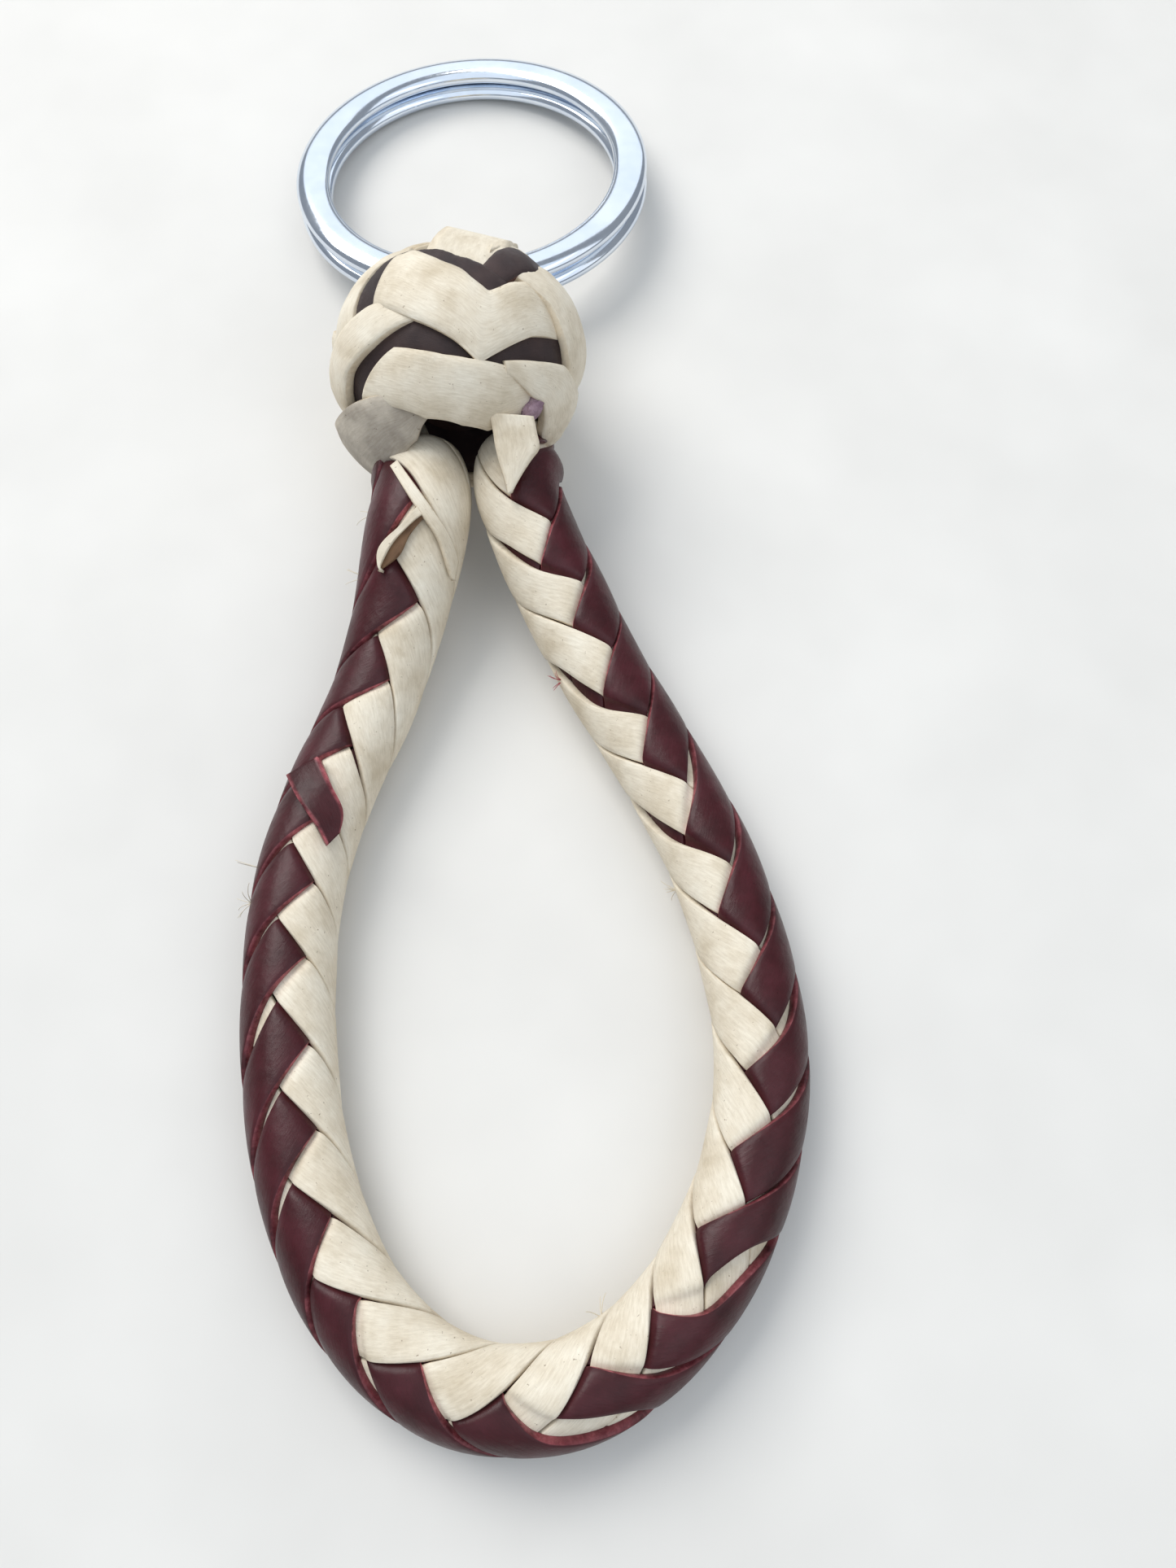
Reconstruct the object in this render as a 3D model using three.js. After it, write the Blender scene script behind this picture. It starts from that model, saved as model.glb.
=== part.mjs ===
// Braided-leather wristlet key fob, lying flat: a two-coil steel split ring, the leather
// hanger that holds it, a woven ball knot on a core, and a wrist loop of eight-strand round braid.
// Millimetres, +Z up. The ring is at +Y, the loop at -Y, and Z = 0 is the surface it lies on.
// While it is being built, X = Y = 0 is the knot's middle; the last lines put the origin
// under the middle of the whole object.

import * as THREE from 'three';

const TURN = 2 * Math.PI;
const DEGREE = Math.PI / 180;

// ---- Driving dimensions -------------------------------------------------------------------

// Split ring: two coils of crowned wire. Its ends lie inside the hanger.
const RING_OUTER_DIAMETER = 38;
const RING_WIRE_WIDTH = 3.55;
const COIL_THICKNESS = 1.85;
const COIL_GAP = 0.15;
const COIL_CROWN_RUN = 1.3;
const COIL_CROWN_DROP = 0.85;
const COIL_RAMP_DEGREES = 40;
const COIL_END_DEGREES = 250;
const RING_TILT_DEGREES = 6.8;
const RING_ROLL_DEGREES = 2;
const RING_CENTRE_Y = 33.7;
const RING_CENTRE_X = -0.3;

// Knot: a ball of flat lace on a core.
const KNOT_RADIUS = 12;
const KNOT_LACE_WIDTH = 4.2;
const KNOT_LACE_THICKNESS = 0.9;
const KNOT_WEAVE = 0.8;
const DARK_LACE_RADIUS = 8;
const DARK_LACE_THICKNESS = 0.8;
const DARK_WEAVE = 0.6;
const CORE_RADIUS = 6.4;
const CORE_BORE_RADIUS = 4.2;
const BINDING_RADIUS = 3.8;
const BINDING_WALL = 0.8;
const BINDING_LENGTH = 6;

// Hanger: a strap folded round the ring.
const HANGER_WIDTH = 11;
const HANGER_THICKNESS = 1.2;
const HANGER_PIVOT = { y: 11.9, z: 8.8 };

// Wrist loop: eight laces braided over a core cord, four of each colour, over four and under four.
const BRAID_DIAMETER = 7.7;
const LACES_PER_COLOUR = 4;
const BRAID_TURNS = 6;
const BRAID_LACE_WIDTH = 2.2;
const BRAID_LACE_THICKNESS = 0.55;
const BRAID_WEAVE = 0.75;
const CORE_CORD_RADIUS = 1.3;
const TAIL_THICKNESS = 1;
const TAIL_CLEARANCE = 0.4;

// The loop's centre line, from the knot down its right leg and back up its left leg.
const LOOP_LIE = BRAID_DIAMETER / 2;
const LOOP_ROUTE = [
  [7.7, -15.3, 7.8],
  [10.1, -20.2, 6.0],
  [13.4, -26.8, 4.8],
  [18.6, -35.8, LOOP_LIE],
  [23.0, -45.0, LOOP_LIE],
  [25.6, -54.0, LOOP_LIE],
  [26.5, -62.5, LOOP_LIE],
  [25.0, -70.6, LOOP_LIE],
  [21.6, -78.0, LOOP_LIE],
  [16.6, -83.7, LOOP_LIE],
  [10.8, -86.8, LOOP_LIE],
  [4.0, -87.0, LOOP_LIE],
  [-1.8, -84.2, LOOP_LIE],
  [-6.4, -79.2, LOOP_LIE],
  [-9.8, -72.0, LOOP_LIE],
  [-11.9, -63.4, LOOP_LIE],
  [-12.7, -55.0, LOOP_LIE],
  [-12.4, -46.6, LOOP_LIE],
  [-10.4, -38.4, LOOP_LIE],
  [-7.2, -29.8, 4.4],
  [-5.3, -22.0, 5.9],
  [-4.1, -15.3, 8.4],
].map(([x, y, z]) => new THREE.Vector3(x, y, z));
const loopCurve = new THREE.CatmullRomCurve3(LOOP_ROUTE, false, 'centripetal');

// ---- Materials ----------------------------------------------------------------------------

const material = (color, roughness, metalness) =>
  new THREE.MeshStandardMaterial({ color, roughness, metalness });

const polishedSteel = material(0xc8d2de, 0.16, 1);
const creamLace = material(0xe1d7c3, 0.62, 0);
const burgundyLace = material(0x4b2328, 0.42, 0);
const darkLace = material(0x3c2d2d, 0.45, 0);
const coreLeather = material(0x8a6a4c, 0.8, 0);
const waxedThread = material(0xcfc3a6, 0.7, 0);

// ---- Swept laces --------------------------------------------------------------------------

// Section points run anticlockwise in (across, out), looking back along the path.
const laceSection = (width, thickness) => [
  [-width / 2, -thickness / 2],
  [width / 2, -thickness / 2],
  [width / 2, thickness / 2],
  [-width / 2, thickness / 2],
];

// Sweeps a section through stations { centre, out }: one closed solid, or a closed band.
function sweep(stations, section, closed = false) {
  const count = stations.length;
  const sides = section.length;
  const positions = [];
  stations.forEach(({ centre, out }, k) => {
    const before = stations[closed ? (k + count - 1) % count : Math.max(k - 1, 0)].centre;
    const after = stations[closed ? (k + 1) % count : Math.min(k + 1, count - 1)].centre;
    const along = after.clone().sub(before).normalize();
    const across = out.clone().cross(along).normalize();
    const up = along.clone().cross(across);
    for (const [a, b] of section) {
      const point = centre.clone().addScaledVector(across, a).addScaledVector(up, b);
      positions.push(point.x, point.y, point.z);
    }
  });
  const index = [];
  for (let k = 0; k < (closed ? count : count - 1); k += 1) {
    const here = k * sides;
    const next = ((k + 1) % count) * sides;
    for (let i = 0; i < sides; i += 1) {
      const j = (i + 1) % sides;
      index.push(here + i, here + j, next + j, here + i, next + j, next + i);
    }
  }
  if (!closed) {
    const last = (count - 1) * sides;
    for (let i = 1; i < sides - 1; i += 1) {
      index.push(0, i + 1, i, last, last + i, last + i + 1);
    }
  }
  const geometry = new THREE.BufferGeometry();
  geometry.setAttribute('position', new THREE.Float32BufferAttribute(positions, 3));
  geometry.setIndex(index);
  geometry.computeVertexNormals();
  return geometry;
}

function named(name, geometry, surface) {
  const mesh = new THREE.Mesh(geometry, surface);
  mesh.name = name;
  return mesh;
}

// ---- Split ring ---------------------------------------------------------------------------

const RING_MEAN_RADIUS = (RING_OUTER_DIAMETER - RING_WIRE_WIDTH) / 2;
const COIL_PITCH = COIL_THICKNESS + COIL_GAP;
const RING_HALF_HEIGHT = COIL_THICKNESS + COIL_GAP / 2;

// The wire's section: a narrow flat on top and bottom, and a long rounded shoulder on each side.
function coilSection() {
  const flat = RING_WIRE_WIDTH / 2 - COIL_CROWN_RUN;
  const side = COIL_THICKNESS / 2 - COIL_CROWN_DROP;
  const section = [];
  for (const [cornerX, cornerY, start] of [[1, -1, -90], [1, 1, 0], [-1, 1, 90], [-1, -1, 180]]) {
    for (const step of [0, 30, 60, 90]) {
      const angle = (start + step) * DEGREE;
      section.push([
        cornerX * flat + COIL_CROWN_RUN * Math.cos(angle),
        cornerY * side + COIL_CROWN_DROP * Math.sin(angle),
      ]);
    }
  }
  return section;
}

// One wire: a lower coil, a short ramp, and an upper coil that stops where the ramp starts.
function splitRing() {
  const stepDegrees = 10;
  const stations = [];
  for (let turned = 0; turned <= 720 - COIL_RAMP_DEGREES; turned += stepDegrees) {
    const climb = THREE.MathUtils.smoothstep(turned, 360 - COIL_RAMP_DEGREES, 360);
    const angle = (turned + COIL_RAMP_DEGREES + COIL_END_DEGREES) * DEGREE;
    stations.push({
      centre: new THREE.Vector3(
        RING_MEAN_RADIUS * Math.cos(angle),
        RING_MEAN_RADIUS * Math.sin(angle),
        COIL_PITCH * (climb - 0.5),
      ),
      out: new THREE.Vector3(0, 0, 1),
    });
  }
  const ring = named('split_ring', sweep(stations, coilSection()), polishedSteel);
  const tilt = RING_TILT_DEGREES * DEGREE;
  const roll = RING_ROLL_DEGREES * DEGREE;
  const reach = RING_MEAN_RADIUS * Math.hypot(Math.sin(tilt), Math.sin(roll));
  ring.rotation.set(-tilt, -roll, 0);
  ring.position.set(RING_CENTRE_X, RING_CENTRE_Y, reach + RING_HALF_HEIGHT);
  return ring;
}

// ---- Knot ---------------------------------------------------------------------------------

// A lace woven as a Turk's head round the Y axis: three passes round and four scallops a side.
function knotLace(name, radius, weave, thickness, turned, surface) {
  const leads = 3;
  const bights = 4;
  const stationCount = 96;
  const halfHeight = 0.8 * radius;
  const stations = [];
  for (let k = 0; k < stationCount; k += 1) {
    const t = (k / stationCount) * TURN;
    const height = halfHeight * Math.cos(bights * t);
    const around = leads * t + turned;
    const girth = Math.sqrt(radius * radius - height * height);
    const out = new THREE.Vector3(
      girth * Math.cos(around),
      height,
      girth * Math.sin(around),
    ).normalize();
    const over = weave * Math.sin(2 * bights * t);
    stations.push({ centre: out.clone().multiplyScalar(radius + over), out });
  }
  const section = laceSection(KNOT_LACE_WIDTH, thickness);
  return named(name, sweep(stations, section, true), surface);
}

// A ball turned about the Y axis with a bore for the bound strand ends.
function knotCore() {
  const profile = [];
  const mouth = Math.asin(CORE_BORE_RADIUS / CORE_RADIUS);
  const steps = 8;
  for (let k = 0; k <= steps; k += 1) {
    const angle = mouth + (Math.PI - 2 * mouth) * (k / steps);
    const radius = CORE_RADIUS * Math.sin(angle);
    profile.push(new THREE.Vector2(radius, -CORE_RADIUS * Math.cos(angle)));
  }
  profile.push(profile[0].clone());
  return named('knot_core', new THREE.LatheGeometry(profile, 24), coreLeather);
}

function neckBinding() {
  const inside = BINDING_RADIUS - BINDING_WALL;
  const half = BINDING_LENGTH / 2;
  const profile = [
    [inside, -half],
    [BINDING_RADIUS, -half],
    [BINDING_RADIUS, half],
    [inside, half],
    [inside, -half],
  ].map(([r, y]) => new THREE.Vector2(r, y));
  return named('neck_binding', new THREE.LatheGeometry(profile, 20), waxedThread);
}

function knot() {
  const group = new THREE.Group();
  const laceRadius = KNOT_RADIUS - KNOT_WEAVE - KNOT_LACE_THICKNESS / 2;
  const turned = 40 * DEGREE;
  group.add(
    knotLace('knot_lace_cream', laceRadius, KNOT_WEAVE, KNOT_LACE_THICKNESS, 0, creamLace),
    knotLace('knot_lace_dark', DARK_LACE_RADIUS, DARK_WEAVE, DARK_LACE_THICKNESS, turned, darkLace),
    knotCore(),
    neckBinding(),
  );
  group.position.z = KNOT_RADIUS - 0.3;
  return group;
}

// ---- Hanger -------------------------------------------------------------------------------

// A strap folded round the ring's near side, seen from +X and extruded across its width.
function ringHanger() {
  const tilt = RING_TILT_DEGREES * DEGREE;
  const eyeY = RING_CENTRE_Y - RING_MEAN_RADIUS * Math.cos(tilt);
  const roll = RING_ROLL_DEGREES * DEGREE;
  const reach = RING_MEAN_RADIUS * Math.hypot(Math.sin(tilt), Math.sin(roll));
  const eyeZ = reach + RING_HALF_HEIGHT + RING_MEAN_RADIUS * Math.sin(tilt);
  const bow = RING_MEAN_RADIUS - Math.sqrt(RING_MEAN_RADIUS ** 2 - (HANGER_WIDTH / 2) ** 2);
  const slack = 1;
  const halfY = RING_WIRE_WIDTH / 2 + bow / 2 + slack;
  const halfZ = RING_HALF_HEIGHT + slack;
  const middleY = eyeY + bow / 2;
  const strap = new THREE.Shape();
  const tabHalf = HANGER_THICKNESS;
  strap.moveTo(HANGER_PIVOT.y, HANGER_PIVOT.z + tabHalf);
  strap.lineTo(HANGER_PIVOT.y - tabHalf, HANGER_PIVOT.z);
  strap.lineTo(HANGER_PIVOT.y, HANGER_PIVOT.z - tabHalf);
  const outerY = halfY + HANGER_THICKNESS;
  const outerZ = halfZ + HANGER_THICKNESS;
  strap.absellipse(middleY, eyeZ, outerY, outerZ, 200 * DEGREE, 490 * DEGREE, false);
  strap.closePath();
  const eye = new THREE.Path();
  eye.absellipse(middleY, eyeZ, halfY, halfZ, 0, TURN, true);
  strap.holes.push(eye);
  const geometry = new THREE.ExtrudeGeometry(strap, {
    depth: HANGER_WIDTH,
    bevelEnabled: false,
    curveSegments: 16,
  });
  geometry.translate(0, 0, -HANGER_WIDTH / 2);
  // The shape's (x, y) become the object's (Y, Z), and the extrusion runs along X.
  geometry.applyMatrix4(new THREE.Matrix4().makeBasis(
    new THREE.Vector3(0, 1, 0),
    new THREE.Vector3(0, 0, 1),
    new THREE.Vector3(1, 0, 0),
  ));
  const hanger = named('ring_hanger', geometry, creamLace);
  hanger.position.x = RING_CENTRE_X;
  return hanger;
}

// ---- Wrist loop ---------------------------------------------------------------------------

const WORLD_UP = new THREE.Vector3(0, 0, 1);

// The braid's section frame at a fraction u of the route: outward (away from the loop's
// inside) and up, both square to the centre line.
function loopFrame(u) {
  const centre = loopCurve.getPointAt(u);
  const along = loopCurve.getTangentAt(u);
  const outward = along.clone().cross(WORLD_UP).normalize().negate();
  const up = outward.clone().cross(along).normalize();
  if (up.z < 0) {
    up.negate();
  }
  return { centre, outward, up };
}

// One lace of the braid. hand is -1 for the four that cross the top from outside to inside,
// and +1 for the other four. Each lace lies over four crossings, then under four, so one colour
// covers the loop's outer side and the other covers its inner side.
function braidLace(name, hand, number, surface) {
  const stepsPerTurn = 24;
  const count = BRAID_TURNS * stepsPerTurn;
  const meanRadius = BRAID_DIAMETER / 2 - BRAID_WEAVE - BRAID_LACE_THICKNESS / 2;
  const columnMiddle = 90 * DEGREE;
  const firstCrossing = 22.5 * DEGREE;
  const firmness = 8;
  const stations = [];
  for (let k = 0; k <= count; k += 1) {
    const u = k / count;
    const { centre, outward, up } = loopFrame(u);
    const start = firstCrossing + (number / LACES_PER_COLOUR) * TURN;
    const angle = start + hand * u * BRAID_TURNS * TURN;
    const out = up.clone().multiplyScalar(Math.cos(angle)).addScaledVector(outward, Math.sin(angle));
    const wave = firmness * Math.cos(angle - columnMiddle);
    const over = -hand * BRAID_WEAVE * THREE.MathUtils.clamp(wave, -1, 1);
    stations.push({ centre: centre.addScaledVector(out, meanRadius + over), out });
  }
  return named(name, sweep(stations, laceSection(BRAID_LACE_WIDTH, BRAID_LACE_THICKNESS)), surface);
}

function loopCore() {
  const section = new THREE.Shape();
  section.absarc(0, 0, CORE_CORD_RADIUS, 0, TURN, false);
  const geometry = new THREE.ExtrudeGeometry(section, {
    steps: 64,
    curveSegments: 4,
    extrudePath: loopCurve,
  });
  return named('loop_core', geometry, coreLeather);
}

// A short lace end lying on the braid between two fractions of the route.
function laceTail(name, from, to, width, angle, surface) {
  const steps = 4;
  const radius = BRAID_DIAMETER / 2 + TAIL_CLEARANCE + TAIL_THICKNESS / 2;
  const stations = [];
  for (let k = 0; k <= steps; k += 1) {
    const { centre, outward, up } = loopFrame(from + (to - from) * (k / steps));
    const out = up.multiplyScalar(Math.cos(angle)).addScaledVector(outward, Math.sin(angle));
    stations.push({ centre: centre.addScaledVector(out, radius), out });
  }
  return named(name, sweep(stations, laceSection(width, TAIL_THICKNESS)), surface);
}

function wristLoop() {
  const group = new THREE.Group();
  group.add(loopCore());
  for (let number = 0; number < LACES_PER_COLOUR; number += 1) {
    group.add(
      braidLace(`lace_burgundy_${number + 1}`, -1, number, burgundyLace),
      braidLace(`lace_cream_${number + 1}`, 1, number, creamLace),
    );
  }
  group.add(
    laceTail('splice_tail_burgundy', 0.82, 0.858, 3, 0, burgundyLace),
    laceTail('end_tail_cream', 0.005, 0.04, 3.2, -5 * DEGREE, creamLace),
  );
  return group;
}

// ---- Assembly -----------------------------------------------------------------------------

const fob = new THREE.Group();
fob.name = 'wristlet_key_fob';
fob.add(splitRing(), ringHanger(), knot(), wristLoop());

// The origin goes under the middle of the whole object.
fob.updateMatrixWorld(true);
const bounds = new THREE.Box3().setFromObject(fob, true);
const middle = bounds.getCenter(new THREE.Vector3());
fob.position.set(-middle.x, -middle.y, -bounds.min.z);
fob.updateMatrixWorld(true);

export default fob;
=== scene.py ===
import math

import bpy
import numpy as np
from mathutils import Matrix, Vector


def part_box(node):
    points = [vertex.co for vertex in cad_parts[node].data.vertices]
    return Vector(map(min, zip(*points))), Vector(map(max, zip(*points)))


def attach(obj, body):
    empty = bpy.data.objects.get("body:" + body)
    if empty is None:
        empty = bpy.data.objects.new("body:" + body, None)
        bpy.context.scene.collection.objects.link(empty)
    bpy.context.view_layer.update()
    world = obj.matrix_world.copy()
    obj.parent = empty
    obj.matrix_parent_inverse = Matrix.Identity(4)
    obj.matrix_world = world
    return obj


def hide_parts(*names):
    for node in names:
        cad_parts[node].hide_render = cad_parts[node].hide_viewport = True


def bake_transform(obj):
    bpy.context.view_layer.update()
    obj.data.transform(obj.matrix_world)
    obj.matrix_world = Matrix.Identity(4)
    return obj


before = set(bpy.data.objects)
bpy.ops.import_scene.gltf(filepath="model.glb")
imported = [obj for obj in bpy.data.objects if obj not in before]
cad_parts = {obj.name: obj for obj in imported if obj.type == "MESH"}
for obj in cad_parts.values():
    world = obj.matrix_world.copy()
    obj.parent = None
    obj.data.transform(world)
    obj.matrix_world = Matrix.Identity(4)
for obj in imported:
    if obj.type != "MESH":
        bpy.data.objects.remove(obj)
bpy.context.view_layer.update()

MM = 0.001
DEG = math.pi / 180

# Local millimetres: X = Y = 0 at the middle of the knot, Z = 0 on the floor.
KNOT_LOW, KNOT_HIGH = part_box("knot_lace_cream")
KNOT_X = (KNOT_LOW[0] + KNOT_HIGH[0]) / 2
KNOT_Y = (KNOT_LOW[1] + KNOT_HIGH[1]) / 2


def spot(x, y, z):
    return Vector((KNOT_X + x * MM, KNOT_Y + y * MM, z * MM))


def placed(points):
    """Local millimetres to metres in the shared frame, for an array of points."""
    return np.asarray(points) * MM + np.array([KNOT_X, KNOT_Y, 0.0])


# ---- Camera --------------------------------------------------------------------------------

# The lens and the angle come from the ring's ellipse and the braid's growth towards the viewer.
camera_data = bpy.data.cameras.new("camera")
camera_data.sensor_width = 36
camera_data.lens = 29.9
camera_data.clip_start = 0.005
camera = bpy.data.objects.new("camera", camera_data)
camera.location = spot(12.3, -81.06, 111.0)
camera.rotation_euler = (22 * DEG, 0, 0)
bpy.context.scene.collection.objects.link(camera)
bpy.context.scene.camera = camera
bpy.context.scene.view_settings.view_transform = "Standard"

# ---- Cord route: out of the knot, round the loop and back -----------------------------------

BRAID_RADIUS = 3.85
LIE = BRAID_RADIUS       # height of the route where the braid lies on the floor
PER_SPAN = 60            # points of the smooth line between two of the route
SPANS_IN_KNOT = 3
ROUTE = [
    (6.8, -4.5, 8.4), (5.9, -8.0, 9.1), (5.9, -10.8, 9.1),
    (7.6, -15.3, 7.8), (10.1, -20.2, 6.0), (13.4, -26.8, 4.8),
    (18.6, -35.8, LIE), (23.0, -45.0, LIE), (25.6, -54.0, LIE), (26.5, -62.5, LIE),
    (25.0, -70.6, LIE), (21.6, -78.0, LIE), (16.6, -83.7, LIE), (10.8, -86.8, LIE),
    (4.0, -87.0, LIE), (-1.8, -84.2, LIE), (-6.4, -79.2, LIE), (-9.8, -72.0, LIE),
    (-11.9, -63.4, LIE), (-12.7, -55.0, LIE), (-12.4, -46.6, LIE), (-10.4, -38.4, LIE),
    (-7.1, -29.8, 4.4), (-5.0, -22.0, 6.0), (-3.6, -15.3, 8.3),
    (-3.1, -10.6, 8.9), (-4.3, -6.6, 8.1), (-5.6, -3.0, 7.8),
]


def smooth_route(points, per_span=PER_SPAN):
    """A centripetal Catmull-Rom line through the points."""
    p = np.array(points, float)
    p = np.vstack([2 * p[0] - p[1], p, 2 * p[-1] - p[-2]])
    out = []
    for k in range(1, len(p) - 2):
        a, b, c, d = p[k - 1:k + 3]
        t1 = np.linalg.norm(b - a) ** 0.5
        t2 = t1 + np.linalg.norm(c - b) ** 0.5
        t3 = t2 + np.linalg.norm(d - c) ** 0.5
        t = np.linspace(t1, t2, per_span, endpoint=False)[:, None]
        ab = (t1 - t) / t1 * a + t / t1 * b
        bc = (t2 - t) / (t2 - t1) * b + (t - t1) / (t2 - t1) * c
        cd = (t3 - t) / (t3 - t2) * c + (t - t2) / (t3 - t2) * d
        left = (t2 - t) / t2 * ab + t / t2 * bc
        right = (t3 - t) / (t3 - t1) * bc + (t - t1) / (t3 - t1) * cd
        out.append((t2 - t) / (t2 - t1) * left + (t - t1) / (t2 - t1) * right)
    return np.vstack(out + [p[-2][None]])


def distances(line):
    """How far along a line each of its points is."""
    return np.r_[0, np.cumsum(np.linalg.norm(np.diff(line, axis=0), axis=1))]


def evenly(line, count):
    """The same line as that many points at even steps."""
    run = distances(line)
    at = np.linspace(0, run[-1], count)
    return np.stack([np.interp(at, run, column) for column in line.T], axis=-1)


def between(one, two, share):
    """Rows of points from one line across to another, at those shares of the way."""
    return one[:, None] * (1 - share)[None, :, None] + two[:, None] * share[None, :, None]


LINE = smooth_route(ROUTE)
LINE_AT = distances(LINE)
LENGTH = LINE_AT[-1]
NECK_AT = LINE_AT[SPANS_IN_KNOT * PER_SPAN]   # length of the route before it leaves the knot


def unit(v):
    return v / np.linalg.norm(v, axis=-1, keepdims=True)


LINE_ALONG = unit(np.gradient(LINE, axis=0))
LINE_OUT = unit(np.cross([0.0, 0.0, 1.0], LINE_ALONG))
LINE_UP = np.cross(LINE_ALONG, LINE_OUT)


def on_line(table, at):
    return np.stack([np.interp(at, LINE_AT, table[:, k]) for k in range(3)], axis=-1)


def around(at, angle, radius):
    """The point at a distance along the route, turned from up towards the loop's outside."""
    out = np.cos(angle)[..., None] * on_line(LINE_UP, at)
    out = out + np.sin(angle)[..., None] * on_line(LINE_OUT, at)
    return on_line(LINE, at) + radius[..., None] * out


# ---- Mesh helpers --------------------------------------------------------------------------

def make_mesh(name, points, faces, flags=None):
    mesh = bpy.data.meshes.new(name)
    mesh.from_pydata([tuple(p) for p in placed(points)], [], faces)
    mesh.polygons.foreach_set("use_smooth", [True] * len(faces))
    for label, values in (flags or {}).items():
        layer = mesh.attributes.new(label, "FLOAT", "POINT")
        layer.data.foreach_set("value", np.asarray(values, np.float32).ravel())
    mesh.update()
    piece = bpy.data.objects.new(name, mesh)
    bpy.context.scene.collection.objects.link(piece)
    return piece


def grid_faces(rows, columns, closed_rows=False):
    """Quads of a tube of rings, with capped ends unless the rings close on themselves."""
    faces = []
    for r in range(rows if closed_rows else rows - 1):
        n = (r + 1) % rows
        for c in range(columns):
            d = (c + 1) % columns
            faces.append((r * columns + c, r * columns + d, n * columns + d, n * columns + c))
    if not closed_rows:
        faces.append(tuple(reversed(range(columns))))
        faces.append(tuple(range((rows - 1) * columns, rows * columns)))
    return faces


def lace_outline():
    """(across, out, edge) from -1 to 1: a crowned face, two cut edges and a flatter back.
    The edge at -1 is cut on a slant, so its raw side shows from above."""
    face = [(u, 1 - 0.06 * u ** 4, 0) for u in np.linspace(-0.925, 0.95, 9)]
    right = [(0.98, 0.84, 0), (1.0, 0.4, 0.3), (1.0, -0.4, 0.6), (0.975, -0.82, 0.6)]
    back = [(u, -1.0, 0.5) for u in np.linspace(0.9, -0.9, 5)]
    left = [(-0.98, -0.8, 1), (-1.0, -0.3, 1), (-0.985, 0.4, 1), (-0.95, 0.86, 1)]
    return np.array(face + right + back + left)


OUTLINE = lace_outline()

# ---- Braid: four laces of each colour, over four and under four -----------------------------

LACES = 4                # of each colour
LACE_TURN = 45           # degrees round the braid from one lace to the next
HALF_WIDTH = 2.3         # of a lace
HALF_THICKNESS = 0.42
LIFT = 0.48              # how far a lace on top is raised from the middle layer
SINK = 0.42              # how far one underneath is lowered, as a share of LIFT
DIVE = 14                # how sharply a lace changes from over to under
MIDDLE_RADIUS = BRAID_RADIUS - HALF_THICKNESS - LIFT
CORE_RADIUS = 1.9

# Where the seam's inside corners come along the route, and how far the seam is turned there.
CORNER_AT = NECK_AT + np.array([-19.0, -3.4, 2.5, 23.8, 39.6, 59.7, 80.3, 114.3, 128.7, 138.7,
                                151.6, 163.2, 172.3, 188.2])
CORNER_COUNT = np.array([-2, 0, 1, 4, 6, 9, 12, 17, 19, 20.5, 22.5, 24, 25, 27])
SEAM_AT = NECK_AT + np.array([0, 10, 17, 33, 47, 60, 67, 74, 81, 89, 96, 102, 107, 115, 121, 129,
                              138, 145, 151, 159, 164, 173])
SEAM_TURN = DEG * np.array([0, 2, -14, -12, -6, -12, -22, -8, -3, 14, 6, 6, -6, -18, -19, -13,
                            -12, 4, 4, -16, -16, 16])

EASE = 50                # samples that a table is eased over, each way
DENSE_AT = np.linspace(0, LENGTH, 2000)


def eased(values):
    kernel = np.hanning(2 * EASE + 1)
    kernel /= kernel.sum()
    return np.convolve(np.pad(values, EASE, mode="reflect", reflect_type="odd"), kernel, "valid")


COUNT_TABLE = eased(np.interp(DENSE_AT, CORNER_AT, CORNER_COUNT))
SEAM_TABLE = eased(np.interp(DENSE_AT, SEAM_AT, SEAM_TURN))


# Where two laces of one colour part: (distance from the neck, steps from the top seam, how far).
OPEN_CREAM = [(-0.6, 1.0, 0.12), (1.9, 1.0, 0.05), (15.5, 1.1, 0.20), (29.8, 1.3, 0.22)]
OPEN_BURGUNDY = [(26.1, 0.9, 0.08), (49.3, 0.9, 0.13), (68.9, 0.9, 0.30), (81.7, 1.0, 0.27),
                 (95.3, 0.5, 0.27), (108.3, 0.7, 0.10), (115.5, 0.7, 0.10), (122.9, 0.8, 0.12)]
GAP_RUN = 0.3            # steps along the lace edge that a gap takes to close


def parted(gaps, steps, from_seam):
    """How far each edge of a lace is drawn back, as (far along the route, near)."""
    far, near = np.zeros(len(steps)), np.zeros(len(steps))
    for place, out, amount in gaps:
        away = (steps + from_seam - out) / 2 - np.interp(NECK_AT + place, DENSE_AT, COUNT_TABLE)
        reach = np.where(from_seam < out, 0.9, 0.7)
        across = amount * np.exp(-((from_seam - out) / reach) ** 2)
        far = far + across * np.exp(-((away + 0.5) / GAP_RUN) ** 2)
        near = near + across * np.exp(-((away - 0.5) / GAP_RUN) ** 2)
    return far, near


def near_knot(at):
    """How thick the braid is: 1 in the middle of the loop, more beside the knot, where the left
    leg goes in fatter than the right, and less at its hidden ends."""
    to_end = LENGTH - at
    closest = np.minimum(at, to_end - 2.0)
    both_legs = 0.13 * np.clip(1 - (closest - 9.5) / 26, 0, 1) ** 1.5
    left_leg = 0.09 * np.exp(-((to_end - 13.0) / 7.0) ** 2)
    right_leg = -0.10 * np.exp(-((at - 9.0) / 5.5) ** 2)
    inside = np.clip(1 - closest / 4.0, 0, 1)
    taper = 1 - 0.45 * inside * inside * (3 - 2 * inside)
    return (1 + both_legs + left_leg + right_leg) * taper


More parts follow.
